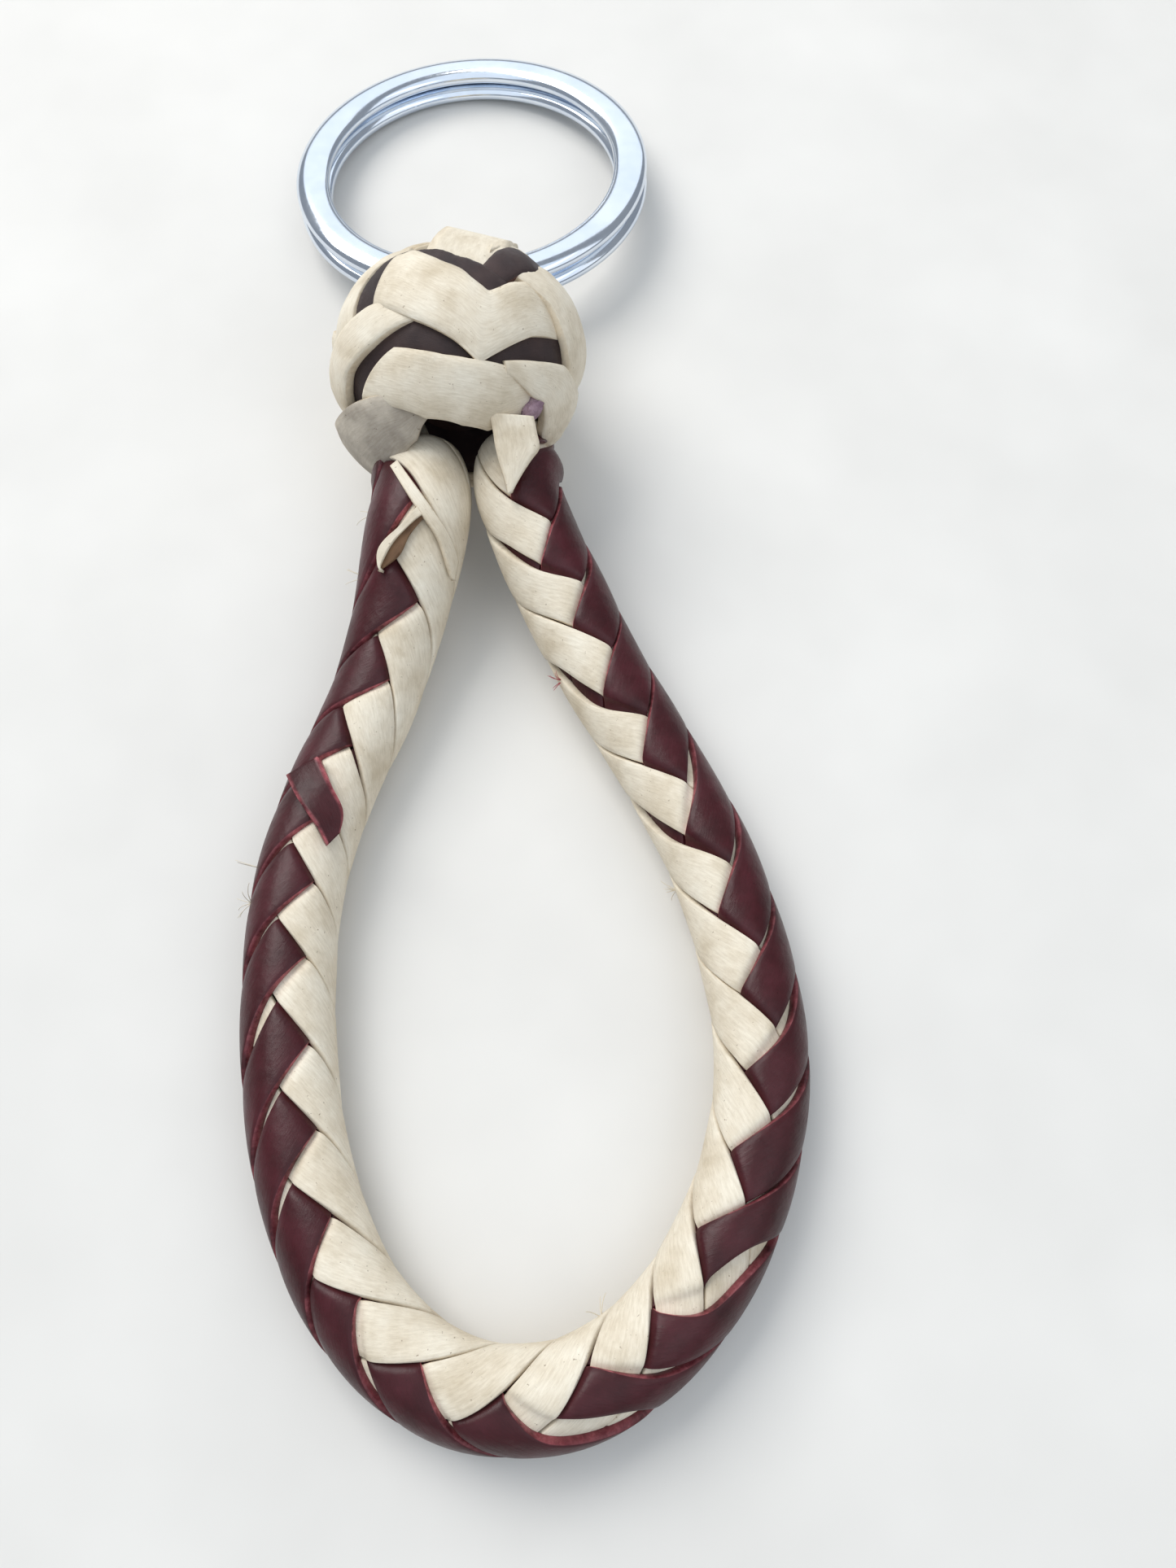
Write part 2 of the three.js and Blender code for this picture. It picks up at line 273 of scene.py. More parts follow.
def braid_lace(name, hand, number, seed):
    """One lace of the braid. hand is -1 for burgundy and 1 for cream, which cross each other."""
    rng = np.random.default_rng(seed)
    first = 2 * COUNT_TABLE[0]
    last = 2 * COUNT_TABLE[-1]
    home = number + 0.25
    # Stations are closer together where the lace dives.
    turns = np.arange(math.floor(first) - 1, math.ceil(last) + 1)
    fine = 0.5 + np.array([-.5, -.4, -.3, -.22, -.16, -.11, -.07, -.035,
                           0, .035, .07, .11, .16, .22, .3, .4])
    steps = (turns[:, None] + fine[None]).ravel()
    steps = steps[(steps >= first) & (steps <= last)]
    cross = 2 * home + hand * steps
    wave = np.sin(math.pi * cross / LACES)
    over = -hand * (0.9 * np.tanh(DIVE * wave) + 0.1 * wave)
    over = np.where(over < 0, SINK * over, over)
    knots = np.arange(first - 4, last + 5, 2.0)
    jitter = rng.normal(0, 1, (3, len(knots)))
    lift_noise, width_noise, lean_noise = (np.interp(steps, knots, j) for j in jitter)
    # Steps away from the top seam. The gaps beside the silhouette open most about here.
    from_seam = np.mod(-hand * cross, 2 * LACES)
    opening = np.exp(-((from_seam - 1.5) / 0.75) ** 2) * (over > 0)
    gap_noise = np.clip(np.interp(steps, knots, rng.normal(0.62, 0.5, len(knots))), 0, 1.5)
    narrow = (0.16 if hand < 0 else 0.03) * opening * gap_noise
    far, near = parted(OPEN_BURGUNDY if hand < 0 else OPEN_CREAM, steps, from_seam)
    right_cut, left_cut = (far, near) if hand < 0 else (near, far)
    half = (0.486 + 0.008 * width_noise - narrow / 2)[:, None]
    u, v = OUTLINE[:, 0][None], OUTLINE[:, 1][None]
    cut = np.where(u > 0, right_cut[:, None], left_cut[:, None]) * np.clip(over, 0, 1)[:, None]
    shift = (half - cut) * u + 0.012 * lean_noise[:, None]
    own = home + shift
    crossed = cross[:, None] - home
    turn = own + crossed
    run = -hand * (own - crossed)
    at = np.interp(run / 2, COUNT_TABLE, DENSE_AT)
    angle = np.interp(at, DENSE_AT, SEAM_TABLE) + turn * LACE_TURN * DEG
    crown = 0.045 * (1 - u ** 2) * (over[:, None] > 0)
    lean = 0.035 * lean_noise[:, None] * u
    radius = MIDDLE_RADIUS + LIFT * over[:, None] * (1 + 0.06 * lift_noise[:, None])
    radius = radius + HALF_THICKNESS * v + crown + lean
    radius = radius * near_knot(at)
    points = around(at, angle, radius)
    rows, columns = points.shape[:2]
    along = np.repeat(steps[:, None] * 2 * HALF_WIDTH, columns, axis=1)
    to_seam = np.minimum(from_seam, LACES - from_seam)
    beside_seam = 0.35 + 0.65 * np.exp(-(to_seam / 0.8) ** 2)
    flags = {
        "edge": OUTLINE[:, 2][None] * beside_seam[:, None],
        "along": along,
        "across": np.repeat(u * HALF_WIDTH, rows, axis=0),
    }
    return make_mesh(name, points.reshape(-1, 3), grid_faces(rows, columns), flags)


def tube(name, radius, start, end, sides=20, step=0.8):
    """A slightly uneven tube along the route, and the distances of its rings."""
    at = np.arange(start, end, step)
    angle = np.linspace(0, 2 * math.pi, sides, endpoint=False)
    at_grid, angle_grid = np.meshgrid(at, angle, indexing="ij")
    wobble = 1 + 0.02 * np.sin(3 * angle_grid + at_grid)
    points = around(at_grid, angle_grid, radius * wobble)
    return make_mesh(name, points.reshape(-1, 3), grid_faces(len(at), sides)), at


# ---- Materials -----------------------------------------------------------------------------

class Nodes:
    """Short names for building one procedural material."""

    def __init__(self, name):
        self.material = bpy.data.materials.new(name)
        self.material.use_nodes = True
        self.tree = self.material.node_tree
        self.shader = self.tree.nodes["Principled BSDF"]
        self.where = self.tree.nodes.new("ShaderNodeTexCoord").outputs["Object"]

    def link(self, source, target):
        self.tree.links.new(source, target)

    def noise(self, scale, detail=4.0, roughness=0.55):
        node = self.tree.nodes.new("ShaderNodeTexNoise")
        node.inputs["Scale"].default_value = scale
        node.inputs["Detail"].default_value = detail
        node.inputs["Roughness"].default_value = roughness
        self.link(self.where, node.inputs["Vector"])
        return node.outputs["Fac"]

    def fibres(self, lengthwise, crosswise):
        """Noise drawn out along the lace."""
        join = self.tree.nodes.new("ShaderNodeCombineXYZ")
        for label, factor, socket in (("along", lengthwise, "X"), ("across", crosswise, "Y")):
            self.link(self.multiply(self.attribute(label), factor), join.inputs[socket])
        node = self.tree.nodes.new("ShaderNodeTexNoise")
        node.inputs["Scale"].default_value = 1.0
        node.inputs["Detail"].default_value = 5.0
        node.inputs["Roughness"].default_value = 0.7
        self.link(join.outputs["Vector"], node.inputs["Vector"])
        return node.outputs["Fac"]

    def cells(self, scale):
        node = self.tree.nodes.new("ShaderNodeTexVoronoi")
        node.inputs["Scale"].default_value = scale
        self.link(self.where, node.inputs["Vector"])
        return node.outputs["Distance"]

    def ramp(self, value, stops):
        node = self.tree.nodes.new("ShaderNodeValToRGB")
        ramp = node.color_ramp
        while len(ramp.elements) < len(stops):
            ramp.elements.new(0.5)
        for element, (position, color) in zip(ramp.elements, stops):
            element.position = position
            element.color = linear(color)
        self.link(value, node.inputs["Fac"])
        return node.outputs["Color"]

    def mix(self, factor, first, second, blend="MIX"):
        node = self.tree.nodes.new("ShaderNodeMixRGB")
        node.blend_type = blend
        if isinstance(factor, float):
            node.inputs["Fac"].default_value = factor
        else:
            self.link(factor, node.inputs["Fac"])
        self.link(first, node.inputs["Color1"])
        self.link(second, node.inputs["Color2"])
        return node.outputs["Color"]

    def multiply(self, first, second):
        node = self.tree.nodes.new("ShaderNodeMath")
        node.operation = "MULTIPLY"
        self.link(first, node.inputs[0])
        if isinstance(second, float):
            node.inputs[1].default_value = second
        else:
            self.link(second, node.inputs[1])
        return node.outputs["Value"]

    def attribute(self, label):
        node = self.tree.nodes.new("ShaderNodeAttribute")
        node.attribute_name = label
        return node.outputs["Fac"]

    def bump(self, height, strength, distance):
        node = self.tree.nodes.new("ShaderNodeBump")
        node.inputs["Strength"].default_value = strength
        node.inputs["Distance"].default_value = distance
        self.link(height, node.inputs["Height"])
        self.link(node.outputs["Normal"], self.shader.inputs["Normal"])


def linear(color):
    """An sRGB colour from 0 to 255 as linear RGBA."""
    parts = [c / 255 for c in color]
    light = [c / 12.92 if c <= 0.04045 else ((c + 0.055) / 1.055) ** 2.4 for c in parts]
    return tuple(light) + (1.0,)


def grey(value):
    return (value,) * 3


def leather(name, shades, raw_edge, pores, roughness):
    """Blotched leather with specks, streaks along the lace and a cut edge of its own colour.
    Colours and roughness run from 0 to 255."""
    n = Nodes(name)
    blotch = n.ramp(n.noise(260, 5), [(0.3, shades[0]), (0.5, shades[1]), (0.72, shades[2])])
    speck = n.ramp(n.noise(2600, 2, 0.7), [(0.25, pores), (0.31, grey(255))])
    grain = n.fibres(0.8, 4.5)
    streak = n.ramp(grain, [(0.32, (226, 222, 216)), (0.62, grey(255))])
    face = n.mix(0.7, n.mix(0.6, blotch, speck, "MULTIPLY"), streak, "MULTIPLY")
    cut = n.ramp(n.noise(1900, 4, 0.8), [(0.3, raw_edge[0]), (0.7, raw_edge[1])])
    patches = n.ramp(n.noise(520, 4, 0.7), [(0.36, grey(90)), (0.62, grey(255))])
    raw = n.multiply(n.attribute("edge"), patches)
    n.link(n.mix(raw, face, cut), n.shader.inputs["Base Color"])
    n.shader.inputs["Specular IOR Level"].default_value = 0.3
    n.link(n.ramp(n.noise(700, 3), [(0.3, grey(roughness)), (0.8, grey(roughness + 30))]),
           n.shader.inputs["Roughness"])
    n.bump(n.mix(0.45, n.mix(0.5, n.noise(2400, 6, 0.65), n.cells(1500)), grain), 0.45, 0.00014)
    return n.material


CREAM = leather(
    "cream_leather", [(206, 193, 170), (226, 216, 197), (236, 229, 213)],
    [(196, 178, 150), (228, 214, 190)], (120, 92, 66), 205)
BURGUNDY = leather(
    "burgundy_leather", [(52, 14, 19), (64, 20, 26), (78, 30, 38)],
    [(146, 62, 70), (208, 122, 128)], (150, 100, 106), 150)
DARK = leather(
    "dark_leather", [(42, 32, 33), (56, 43, 43), (70, 54, 52)],
    [(92, 62, 60), (120, 84, 78)], (120, 100, 100), 180)
CORE = leather(
    "core_leather", [(92, 68, 50), (120, 92, 68), (140, 112, 86)],
    [(120, 92, 68), (150, 120, 92)], (90, 70, 52), 220)
# Dark brown for the hidden neck binding: painted shade of the hollow at the knot's mouth, where it
# shows.
THREAD = leather(
    "waxed_thread", [(44, 32, 30), (58, 42, 38), (74, 54, 48)],
    [(58, 42, 38), (86, 64, 56)], (90, 70, 64), 200)


def steel():
    n = Nodes("plated_steel_painted_sky_tint")
    # Base colour: the steel's own light grey, tinted blue as a painted reflection of the sky.
    n.link(n.ramp(n.noise(180, 3), [(0.3, (214, 224, 238)), (0.7, (232, 239, 248))]),
           n.shader.inputs["Base Color"])
    n.link(n.ramp(n.noise(3200, 5, 0.8), [(0.4, grey(92)), (0.75, grey(128))]),
           n.shader.inputs["Roughness"])
    n.shader.inputs["Metallic"].default_value = 1.0
    n.bump(n.noise(2600, 3), 0.06, 0.00004)
    return n.material


STEEL = steel()


def wear(piece, material):
    piece.data.materials.clear()
    piece.data.materials.append(material)
    return piece


# ---- Braid pieces --------------------------------------------------------------------------

for number in range(LACES):
    for colour, hand, surface, slot in (
        ("burgundy", -1, BURGUNDY, "burgundy_lace"), ("cream", 1, CREAM, "cream_lace"),
    ):
        lace = braid_lace(f"braid_{colour}_{number + 1}", hand, number, 11 + 2 * number + hand)
        wear(lace, surface)
        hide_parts(f"lace_{colour}_{number + 1}")
        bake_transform(lace)

core, core_at = tube("braid_core", CORE_RADIUS, 0.0, LENGTH)
wear(core, CORE)
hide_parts("loop_core")
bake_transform(core)

# ---- Split ring ----------------------------------------------------------------------------

RING_DIAMETER = 38
WIRE_WIDTH = 3.55
WIRE_HEIGHT = 1.85
COIL_GAP = 0.15
PITCH = WIRE_HEIGHT + COIL_GAP
RING_MEAN = (RING_DIAMETER - WIRE_WIDTH) / 2
RING_STEP = 0.75         # degrees
RAMP = 40                # degrees over which the wire climbs from one coil to the other
COIL_END = 250           # where the upper coil ends, in degrees
CROWN_RUN = 1.68         # how far in, and how far down, the wire is rounded at each corner
CROWN_DROP = 0.87
TILT = 6.8 * DEG
ROLL = 2 * DEG
RING_REACH = RING_MEAN * math.hypot(math.sin(TILT), math.sin(ROLL))
RING_MIDDLE = np.array([-0.3, 33.7, RING_REACH + WIRE_HEIGHT + COIL_GAP / 2])


def ring_frame():
    about_x = np.array([[1, 0, 0], [0, math.cos(TILT), math.sin(TILT)],
                        [0, -math.sin(TILT), math.cos(TILT)]])
    about_y = np.array([[math.cos(ROLL), 0, -math.sin(ROLL)], [0, 1, 0],
                        [math.sin(ROLL), 0, math.cos(ROLL)]])
    return about_x @ about_y


def split_ring():
    """One crowned wire wound into nearly two coils."""
    turned = np.arange(0, 720 - RAMP + 0.1, RING_STEP)
    climb = np.clip((turned - 360 + RAMP) / RAMP, 0, 1)
    climb = climb * climb * (3 - 2 * climb)
    angle = (turned + RAMP + COIL_END) * DEG
    section = []
    for sx, sy, start in ((1, -1, -90), (1, 1, 0), (-1, 1, 90), (-1, -1, 180)):
        for step in np.linspace(0, 90, 9):
            t = (start + step) * DEG
            section.append((sx * (WIRE_WIDTH / 2 - CROWN_RUN) + CROWN_RUN * math.cos(t),
                            sy * (WIRE_HEIGHT / 2 - CROWN_DROP) + CROWN_DROP * math.sin(t)))
    section = np.array(section)
    radius = RING_MEAN + section[:, 0][None]
    local = np.stack([
        radius * np.cos(angle)[:, None], radius * np.sin(angle)[:, None],
        PITCH * (climb - 0.5)[:, None] + section[:, 1][None]], axis=-1)
    points = local.reshape(-1, 3) @ ring_frame().T + RING_MIDDLE
    return make_mesh("ring_wire", points, grid_faces(len(turned), len(section)))


ring = wear(split_ring(), STEEL)
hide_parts("split_ring")
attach(ring, "ring")

# ---- Ball knot -----------------------------------------------------------------------------

# Places on the knot are (turn, reach) in degrees: turn about the Y axis from straight up towards
# +X, and reach from the knot's girth towards the ring.
BALL = np.array([0.0, 1.8, 11.7])
BALL_AXES = np.array([12.2, 11.6, 11.7])
BAND_THICKNESS = 0.9
BAND_WIDTH = 8.0         # as the leather's fibres take it
BAND_ROWS, BAND_COLUMNS = 84, 11


def on_ball(turn, reach, depth):
    """The point on the knot at those angles, depth millimetres below its outer surface."""
    t, r = turn * DEG, reach * DEG
    out = np.stack([np.cos(r) * np.sin(t), np.sin(r), np.cos(r) * np.cos(t)], axis=-1)
    return BALL + out * (BALL_AXES - depth[..., None])


def along_edge(points, count):
    """A line through given corners, at even steps, with the corners just eased."""
    even = evenly(np.array(points, float), count)
    padded = np.pad(even, ((1, 1), (0, 0)), mode="reflect", reflect_type="odd")
    return 0.25 * padded[:-2] + 0.5 * padded[1:-1] + 0.25 * padded[2:]


def band(name, edge_a, edge_b, depths, surface, node=None, seed=1):
    """A flat lace on the knot between two edges. depths are how far its face lies below the
    knot's outside at even steps along it."""
    count, across = BAND_ROWS, BAND_COLUMNS
    rng = np.random.default_rng(seed)
    one, two = along_edge(edge_a, count), along_edge(edge_b, count)
    depth = np.interp(np.linspace(0, len(depths) - 1, count), range(len(depths)), depths)
    depth = np.convolve(np.pad(depth, 4, mode="edge"), np.ones(9) / 9, "valid")
    wave = np.convolve(rng.normal(0, 0.12, count + 12), np.ones(13) / 13, "valid")

    def laid(share, below):
        place = between(one, two, share)
        return on_ball(place[..., 0], place[..., 1], below)

    u = np.linspace(0, 1, across)
    shape = (2 * u - 1)[None]
    face = depth[:, None] + 0.10 * shape ** 8 + 0.06 * shape ** 2 + wave[:, None] * shape
    side_u = np.array([1.008, 1.012, 1.006])
    side = depth[:, None] + 0.16 + (np.array([0.1, 0.45, 0.85]) * BAND_THICKNESS)[None]
    back_u = np.linspace(0.97, 0.03, 5)
    back = depth[:, None] + 0.25 + BAND_THICKNESS
    points = np.concatenate([
        laid(u, face), laid(side_u, side), laid(back_u, back), laid(1 - side_u, side)[:, ::-1],
    ], axis=1)
    columns = points.shape[1]
    edge = np.r_[np.zeros(across), 1, 1, 1, np.full(5, 0.5), 1, 1, 1]
    over_face = np.r_[u, side_u, back_u, 1 - side_u]
    along = distances(points[:, across // 2])
    flags = {
        "edge": np.repeat(edge[None], count, axis=0),
        "along": np.repeat(along[:, None], columns, axis=1) + 40 * seed,
        "across": np.repeat(over_face[None] * BAND_WIDTH, count, axis=0),
    }
    piece = make_mesh(name, points.reshape(-1, 3), grid_faces(count, columns), flags)
    wear(piece, surface)
    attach(piece, "knot")
    if node:
        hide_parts(node)
    return piece


BANDS = {
    # Top lace: a V that comes down from both shoulders of the knot.
    "v": ([(-26, 23), (-17, 22), (-10, 15), (-1, 8), (6, 4), (11, -1), (18, -6), (23, -2), (27, 2),
           (35, 7), (52, 8)],
          [(-34, -6), (-30, -9), (-15, -19), (4, -29), (18, -38), (27, -31), (42, -18), (62, -8)],
          [0.35, 0.05, 0.0, 0.0, 0.0, 0.05, 0.25, 0.9], "cream"),
    "right_shoulder": ([(29, 10), (35, 7), (41, 4), (47, 1), (58, -9), (70, -18), (78, -28)],
                       [(30, 13), (35, 18), (45, 26), (53, 31), (63, 30), (76, 22), (86, 6),
                        (88, -14), (88, -34)],
                       [0.35, 0.0, -0.2, -0.15, 0.1, 0.9], "cream"),
    "left_shoulder": ([(-6, -14), (-15, -19), (-39, -25), (-60, -28), (-77, -34), (-92, -40)],
                      [(-20, 2), (-33, -6), (-52, -8), (-72, -12), (-88, -18), (-104, -24)],
                      [0.9, 0.15, 0.0, -0.1, 0.0, 0.6], "cream"),
    "collar": ([(-27, -29), (-14, -33), (-1, -36), (13, -37), (32, -36), (48, -33)],
               [(-64, -40), (-45, -51), (-21, -62), (14, -66), (43, -65), (66, -46)],
               [0.5, 0.05, 0.0, 0.0, 0.05, 0.6], "cream"),
    # The lower-left lobe takes the grey look: cream leather painted darker, as painted shade.
    "left_lobe": ([(-20, -54), (-44, -46), (-64, -40), (-88, -34), (-110, -34)],
                  [(-22, -64), (-50, -70), (-84, -68), (-112, -58), (-130, -46)],
                  [1.1, 0.25, -0.6, -1.3, -1.3], "grey"),
    "right_lobe": ([(31, -34), (48, -28), (64, -21), (82, -20), (100, -18), (114, -18)],
                   [(34, -39), (54, -42), (64, -41), (84, -48), (104, -48), (126, -36)],
                   [0.1, -0.25, -0.2, -0.1, 0.1, 0.8], "cream"),
    "dark_left": ([(-96, -24), (-78, -28), (-60, -25), (-38, -21), (-14, -16), (6, -24), (24, -34)],
                  [(-92, -48), (-72, -44), (-58, -42), (-40, -37), (-22, -33), (-2, -38),
                   (16, -42)],
                  [1.6, 1.1, 0.9, 0.9, 0.9, 0.9, 1.2], "dark"),
    "dark_right": ([(12, -34), (26, -26), (42, -14), (58, -4), (76, -8)],
                   [(20, -44), (34, -40), (52, -30), (66, -26), (82, -26)],
                   [1.2, 0.9, 0.9, 0.9, 1.4], "dark"),
    "dark_chevron_left": ([(-24, 26), (-17, 23), (-10, 22), (-3, 20), (4, 15), (9, 13), (15, 10),
                           (20, 7), (27, 2), (34, -3)],
                          [(-26, 14), (-18, 14), (-10, 9), (-2, 3), (8, -4), (18, -12), (30, -10)],
                          [0.5, 0.3, 0.28, 0.28, 0.4], "dark"),
    "dark_chevron_right": ([(14, 9), (18, 16), (23, 25), (30, 33), (40, 40), (53, 38), (64, 30)],
                           [(20, -2), (28, 5), (34, 12), (42, 17), (54, 22), (66, 18)],
                           [0.75, 0.2, -0.05, 0.2, 0.8], "dark"),
    "dark_sliver": ([(-22, 29), (-26, 20), (-29, 8), (-32, -4), (-34, -12)],
                    [(-28, 34), (-36, 26), (-42, 13), (-47, 0), (-50, -10)],
                    [0.9, 0.65, 0.6, 0.65, 0.9], "dark"),
    "rim_left": ([(-24, 34), (-33, 27), (-40, 18), (-46, 6), (-50, -5), (-54, -12)],
                 [(-26, 42), (-40, 40), (-54, 30), (-64, 14), (-72, 0), (-78, -10)],
                 [0.8, 0.4, 0.35, 0.4, 0.8], "cream"),
    "rim_right": ([(20, 26), (26, 32), (33, 37), (42, 41), (54, 39), (64, 32)],
                  [(24, 42), (31, 46), (39, 49), (51, 50), (66, 44), (78, 32)],
                  [0.4, 0.1, 0.0, 0.2, 0.8], "cream"),
}
# A darker, greyer copy of the cream leather: painted shade on the lower-left lobe, which faces away
# from the light.
GREY = leather(
    "cream_leather_painted_shade", [(140, 132, 121), (178, 169, 156), (208, 199, 184)],
    [(170, 156, 132), (204, 190, 166)], (110, 92, 76), 210)
BAND_LOOKS = {
    "cream": (CREAM, "cream_lace"), "grey": (GREY, "cream_lace"), "dark": (DARK, "dark_lace"),
}
STANDS_FOR = {"v": "knot_lace_cream", "dark_left": "knot_lace_dark"}
for seed, (label, (edge_a, edge_b, depths, look)) in enumerate(BANDS.items()):
    surface, slot = BAND_LOOKS[look]
    band(f"knot_{label}", edge_a, edge_b, depths, surface, STANDS_FOR.get(label), seed=seed)


FIRST_MEETING = 32
MEET_EVERY = 36


def hidden_lace(name, start, hand, run_end, seed):
    """A cream lace on the side that isn't seen, slanting at 45 degrees from near the ring end to
    the mouth. It passes over and under the laces of the other hand, which it meets every 36
    degrees of run, at 32, 68, 104 and 140."""
    run = np.linspace(-20, run_end, 16)
    # The run is even in turn, so the reach follows the stretched latitude of a slanting line.
    reach = np.degrees(np.arctan(np.sinh((88.7 - run) * DEG)))
    middle = start + hand * run
    spread = 19 / np.cos(reach * DEG)
    depths = 0.55 + hand * 0.42 * np.cos(math.pi * (run - FIRST_MEETING) / MEET_EVERY)
    band(name, list(zip(middle - spread, reach)), list(zip(middle + spread, reach)), depths,
         CREAM, seed=seed)


for seed, (start, hand, run_end) in enumerate([(40, 1, 152), (112, 1, 152), (184, 1, 96),
                                               (320, -1, 152), (248, -1, 152), (176, -1, 80)]):
    hidden_lace(f"knot_hidden_{seed + 1}", start, hand, run_end, 40 + seed)
for name, low, high in (
    ("knot_crown_left", [(-72, 46), (-40, 49), (-8, 50)], [(-112, 64), (-55, 72), (-8, 74)]),
    ("knot_crown_right", [(18, 52), (50, 53), (92, 42)], [(18, 75), (60, 76), (124, 60)]),
):
    band(name, low, high, [0.75, 0.6, 0.75], CREAM, seed=50)


def ball_body():
    """The dark laces packed inside the knot, hollow at the mouth where the braid goes in."""
    sides = 96
    turn = np.linspace(0, 360, sides, endpoint=False)
    reach = np.linspace(-58, 78, 60)
    reach_grid, turn_grid = np.meshgrid(reach, turn, indexing="ij")
    ribs = 0.22 * np.sin(8 * turn_grid * DEG + 6 * reach_grid * DEG)
    shell = on_ball(turn_grid, reach_grid, 1.9 + ribs)
    # The cup goes in from the rim to the middle of the knot.
    cup = []
    for share, inward in ((0.2, 7.5), (0.75, 6.5), (0.9, 3.5), (0.97, 1.2)):
        ring = shell[0].copy()
        ring[:, 0] = BALL[0] + (ring[:, 0] - BALL[0]) * share
        ring[:, 2] = BALL[2] + (ring[:, 2] - BALL[2]) * share
        ring[:, 1] += inward
        cup.append(ring)
    points = np.concatenate([np.array(cup), shell])
    flags = {"edge": np.zeros(points.shape[:2])}
    faces = grid_faces(len(points), sides)
    return make_mesh("knot_inner_laces", points.reshape(-1, 3), faces, flags)


inner = wear(ball_body(), DARK)
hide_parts("knot_core")
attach(inner, "knot")

# ---- Strips with two given edges -----------------------------------------------------------

def strip(name, edge_a, edge_b, thickness, surface, raw=1.0):
    """A flat lace end between two lines in local millimetres, with its face on the outer side."""
    count, across = 40, 9
    one, two = (evenly(smooth_route(line, 24), count) for line in (edge_a, edge_b))
    u = np.linspace(0, 1, across)
    mid = between(one, two, u)
    along = unit(np.gradient((one + two) / 2, axis=0))
    normal = unit(np.cross(unit(two - one), along))[:, None]
    crown = 0.12 * (1 - (2 * u - 1) ** 2)[None, :, None]
    top = mid + normal * crown
    back = mid[:, ::-1] - normal * thickness
    points = np.concatenate([top, back], axis=1)
    edge = np.zeros(2 * across)
    edge[[0, across - 1, across, -1]] = raw
    run = distances(mid[:, across // 2])
    flags = {
        "edge": np.repeat(edge[None], count, axis=0),
        "along": np.repeat(run[:, None], 2 * across, axis=1),
        "across": np.repeat(np.r_[u, u[::-1]][None] * 3.0, count, axis=0),
    }
    piece = make_mesh(name, points.reshape(-1, 3), grid_faces(count, 2 * across), flags)
    wear(piece, surface)
    return piece


def on_braid(places, height):
    """Local points from (distance from the neck, degrees from up towards the outside), at a
    height above the braid."""
    at = np.array([NECK_AT + p[0] for p in places])
    angle = np.array([p[1] * DEG for p in places])
    return [tuple(p) for p in around(at, angle, BRAID_RADIUS * near_knot(at) + height)]


splice = strip("splice_tail",
               on_braid([(144.0, 40), (141.8, 12), (139.9, -16), (138.6, -33)], 0.45),
               on_braid([(146.0, 6), (144.0, -16), (142.0, -37), (140.0, -41)], 0.65),
               0.7, BURGUNDY)
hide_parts("splice_tail_burgundy")
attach(splice, "loop")

tab = strip("end_tab",
            [(5.2, -14.0, 13.6), (4.9, -12.8, 14.3), (4.4, -11.4, 15.0), (4.1, -10.3, 15.5),
             (3.9, -9.1, 16.1), (3.6, -7.7, 16.8)],
            [(5.6, -13.8, 13.7), (6.6, -12.2, 14.4), (7.4, -11.1, 15.0), (8.0, -10.3, 15.4),
             (7.8, -9.2, 16.0), (7.5, -7.9, 16.6)],
            0.8, CREAM)
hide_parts("end_tail_cream")
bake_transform(tab)

fold = strip("folded_strip",
             on_braid([(173.9, 26), (171.8, 6), (170.3, -12), (168.8, -34), (167.1, -52),
                       (166.1, -65)], 0.4),
             on_braid([(174.3, 18), (172.3, -2), (170.7, -24), (169.3, -44), (168.6, -54),
                       (167.7, -64)], 0.35),
             0.5, CREAM)
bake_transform(fold)

lifted_edge = strip("lifted_edge",
                    on_braid([(170.8, -10), (169.1, 4), (167.2, 21), (165.3, 18)], 0.45),
                    on_braid([(170.4, -18), (169.5, -8), (167.9, 7), (165.5, 18)], 0.4),
                    0.45, CREAM)
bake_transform(lifted_edge)

slit = strip("slit_back",
             on_braid([(170.3, -17), (169.4, -6), (167.8, 8), (165.5, 19)], 0.15),
             on_braid([(170.1, -18), (168.7, -7), (167.0, 0), (165.4, 19)], 0.15),
             0.4, CORE)
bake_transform(slit)

# Strap that holds the ring: over the knot's crown, round the ring's near side and back inside.
STRAP_LINE = [
    (3.4, 21.7), (5.4, 21.4), (7.4, 21.1), (9.6, 19.9), (11.6, 17.9), (13.7, 15.4), (16.0, 12.9),
    (18.3, 10.8), (19.8, 8.6), (20.1, 6.0), (18.9, 3.8), (16.4, 3.0), (13.8, 3.7), (11.8, 5.6),
    (9.6, 8.0),
]
STRAP_MIDDLE = 1.4
STRAP_HALF = 3.6
STRAP_SLANT = 1.4        # how much lower its right edge is than the line
STRAP_TAPER = 1.5        # how much narrower it is at the ring than inside the knot


def strap_left(y):
    return STRAP_MIDDLE - STRAP_HALF + STRAP_TAPER * min(max((y - 5.5) / 4.5, 0.0), 1.0)


strap = strip("ring_strap",
              [(STRAP_MIDDLE + STRAP_HALF, y - 0.6, z - STRAP_SLANT) for y, z in STRAP_LINE],
              [(strap_left(y), y, z - 0.2) for y, z in STRAP_LINE],
              0.85, CREAM, raw=0.6)
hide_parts("ring_hanger")
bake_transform(strap)


def cut_stub():
    """A frayed lace end that stands up between the collar and the right lobe."""
    rng = np.random.default_rng(5)
    rows, sides = 10, 18
    height = np.linspace(0, 1, rows)
    angle = np.linspace(0, 2 * math.pi, sides, endpoint=False)
    ragged = 1 + 0.17 * rng.normal(0, 1, (rows, sides))
    radius = 1.1 * np.sqrt(np.clip(1 - height ** 3, 0.02, 1))[:, None] * ragged
    turn = 61 + radius * np.cos(angle)[None] * 5
    reach = -46 + radius * np.sin(angle)[None] * 6
    points = on_ball(turn, reach, 0.6 - 1.1 * height[:, None])
    flags = {"edge": np.ones((rows, sides))}
    return make_mesh("cut_stub", points.reshape(-1, 3), grid_faces(rows, sides), flags)


